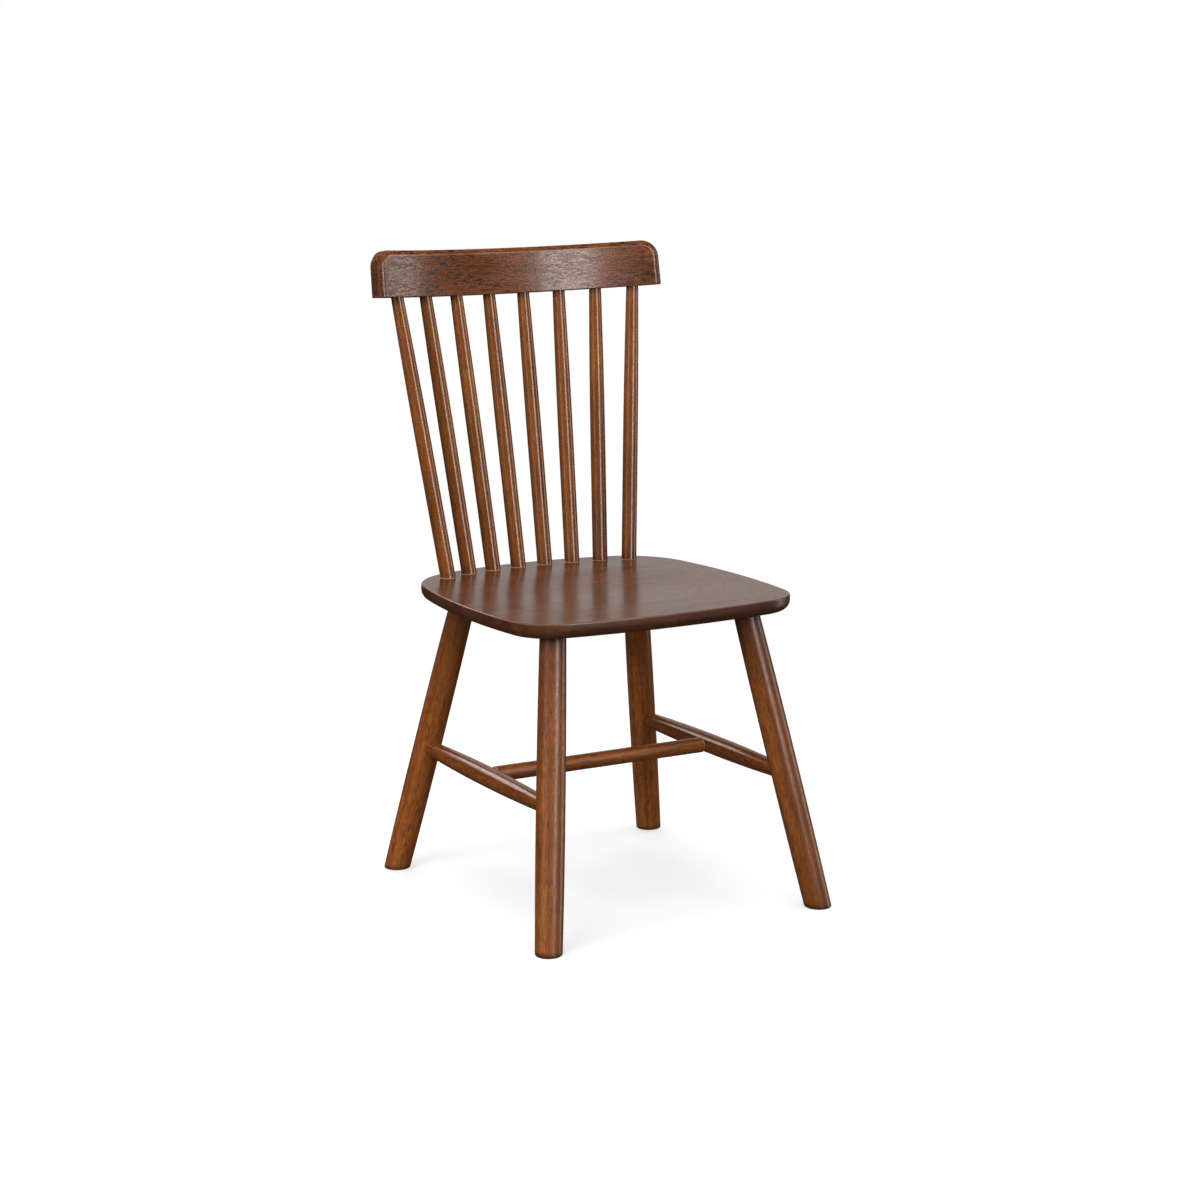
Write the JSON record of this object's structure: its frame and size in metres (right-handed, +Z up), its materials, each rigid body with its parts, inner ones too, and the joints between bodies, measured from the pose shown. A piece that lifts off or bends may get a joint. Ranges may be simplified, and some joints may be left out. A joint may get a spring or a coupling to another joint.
{
  "type": "windsor chair",
  "caption": "Spindle-back wooden dining chair with a saddled plank seat, splayed turned legs joined by stretchers and a bent crest rail.",
  "frame": {"origin": "middle of the chair's footprint box, on the floor", "axes": "+Z up, the chair faces -Y, its left as seen from the front is -X"},
  "size_m": [0.488, 0.5753, 0.9312],
  "materials": {
    "seat_wood": "satin lacquer over walnut stain",
    "crest_wood": "satin lacquer over walnut stain",
    "spindle_wood": "satin lacquer over walnut stain",
    "leg_wood": "satin lacquer over walnut stain"
  },
  "bodies": {
    "root": {"seat": "seat_wood", "crest_rail": "crest_wood", "spindle_1": "spindle_wood", "spindle_2": "spindle_wood", "spindle_3": "spindle_wood", "spindle_4": "spindle_wood", "spindle_5": "spindle_wood", "spindle_6": "spindle_wood", "spindle_7": "spindle_wood", "spindle_8": "spindle_wood", "leg_front_left": "leg_wood", "leg_front_right": "leg_wood", "leg_rear_left": "leg_wood", "leg_rear_right": "leg_wood", "side_stretcher_left": "leg_wood", "side_stretcher_right": "leg_wood", "cross_stretcher": "leg_wood"}
  },
  "joints": []
}
